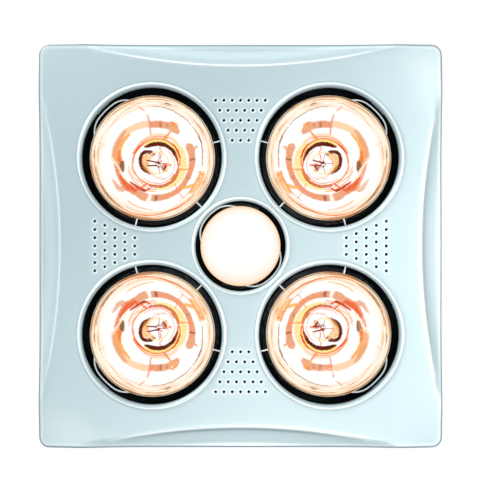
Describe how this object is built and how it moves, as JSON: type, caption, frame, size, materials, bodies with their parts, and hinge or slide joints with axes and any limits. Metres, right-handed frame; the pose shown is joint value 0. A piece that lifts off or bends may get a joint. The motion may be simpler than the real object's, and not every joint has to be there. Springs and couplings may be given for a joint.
{
  "type": "bathroom ceiling heater",
  "caption": "Square recessed ceiling heater with reflector heat lamps, a centre light and a ducted exhaust fan behind a drop-down silver fascia.",
  "frame": {"origin": "middle of the ceiling cut-out, on the ceiling's lower face", "axes": "+Z up into the ceiling, so the fascia faces -Z; +X towards the duct; seen from below with +X right, -Y is up"},
  "size_m": [0.4273, 0.4026, 0.2938],
  "materials": {
    "fascia_silver": "satin metallic silver, pale blue-grey",
    "galvanised": "galvanised sheet with a soft spangle",
    "black_shield": "matt heat-resistant black",
    "lamp_glass": "clear hard glass, silvered inside round the bowl",
    "lamp_metal": "thin rolled shell",
    "porcelain": "white glaze",
    "bright_wire": "bright plated spring wire",
    "zinc_steel": "zinc plated",
    "black_plastic": "moulded black nylon",
    "white_plastic": "moulded white",
    "rubber": "soft black rubber",
    "brass": "turned brass"
  },
  "bodies": {
    "housing": {"fascia_spring_clip_1": "zinc_steel", "fascia_spring_clip_2": "zinc_steel", "ceiling_flange": "galvanised", "housing_walls": "galvanised", "housing_top": "galvanised", "inner_shield": "black_shield", "centre_lampholder": "porcelain", "centre_lamp_guard": "bright_wire", "centre_holder_bridge": "galvanised", "fan_scroll": "galvanised", "fan_inlet_ring": "galvanised", "motor_casing": "zinc_steel", "motor_base_plate": "galvanised", "motor_bush_lower": "brass", "motor_bush_upper": "brass", "motor_stator": "black_shield", "motor_mount_ring": "rubber", "motor_screw_1": "zinc_steel", "motor_screw_2": "zinc_steel", "motor_screw_3": "zinc_steel", "duct_adaptor": "galvanised", "damper_pin": "zinc_steel", "wiring_box": "white_plastic", "wiring_box_lid": "white_plastic", "lid_screw_1": "zinc_steel", "lid_screw_2": "zinc_steel", "terminal_block": "white_plastic", "cable_gland": "black_plastic", "gland_locknut": "black_plastic", "wire_grommet": "rubber", "earth_screw": "brass", "thermal_cutout": "black_plastic", "lampholder_1": "porcelain", "heat_lamp_guard_1": "bright_wire", "lampholder_2": "porcelain", "heat_lamp_guard_2": "bright_wire", "lampholder_3": "porcelain", "heat_lamp_guard_3": "bright_wire", "lampholder_4": "porcelain", "heat_lamp_guard_4": "bright_wire"},
    "fascia": {"fascia": "fascia_silver"},
    "fan_rotor": {"fan_impeller": "black_plastic", "motor_shaft": "zinc_steel", "motor_rotor": "zinc_steel"},
    "damper": {"damper_flap": "zinc_steel"},
    "centre_lamp": {"centre_lamp_glass": "lamp_glass", "centre_lamp_cap": "lamp_metal", "centre_lamp_filament": "lamp_glass"},
    "heat_lamp_1": {"heat_lamp_glass_1": "lamp_glass", "heat_lamp_cap_1": "lamp_metal", "heat_lamp_filament_1": "lamp_glass"},
    "heat_lamp_2": {"heat_lamp_glass_2": "lamp_glass", "heat_lamp_cap_2": "lamp_metal", "heat_lamp_filament_2": "lamp_glass"},
    "heat_lamp_3": {"heat_lamp_glass_3": "lamp_glass", "heat_lamp_cap_3": "lamp_metal", "heat_lamp_filament_3": "lamp_glass"},
    "heat_lamp_4": {"heat_lamp_glass_4": "lamp_glass", "heat_lamp_cap_4": "lamp_metal", "heat_lamp_filament_4": "lamp_glass"}
  },
  "joints": [
    {"name": "fascia_drop", "type": "slide", "parent": "housing", "child": "fascia", "axis": [0, 0, -1], "range_m": [0, 0.056]},
    {"name": "fan_spin", "type": "hinge", "parent": "housing", "child": "fan_rotor", "pos_m": [0, 0, 0.2], "axis": [0, 0, 1], "continuous": true},
    {"name": "damper_swing", "type": "hinge", "parent": "housing", "child": "damper", "pos_m": [0.1918, 0.059, 0.2309], "axis": [0, -1, 0], "range_deg": [0, 75]},
    {"name": "heat_lamp_1_removal", "type": "slide", "parent": "housing", "child": "heat_lamp_1", "axis": [0, 0, -1], "range_m": [0, 0.19]},
    {"name": "heat_lamp_2_removal", "type": "slide", "parent": "housing", "child": "heat_lamp_2", "axis": [0, 0, -1], "range_m": [0, 0.19]},
    {"name": "heat_lamp_3_removal", "type": "slide", "parent": "housing", "child": "heat_lamp_3", "axis": [0, 0, -1], "range_m": [0, 0.19]},
    {"name": "heat_lamp_4_removal", "type": "slide", "parent": "housing", "child": "heat_lamp_4", "axis": [0, 0, -1], "range_m": [0, 0.19]},
    {"name": "centre_lamp_removal", "type": "slide", "parent": "housing", "child": "centre_lamp", "axis": [0, 0, -1], "range_m": [0, 0.13]}
  ]
}
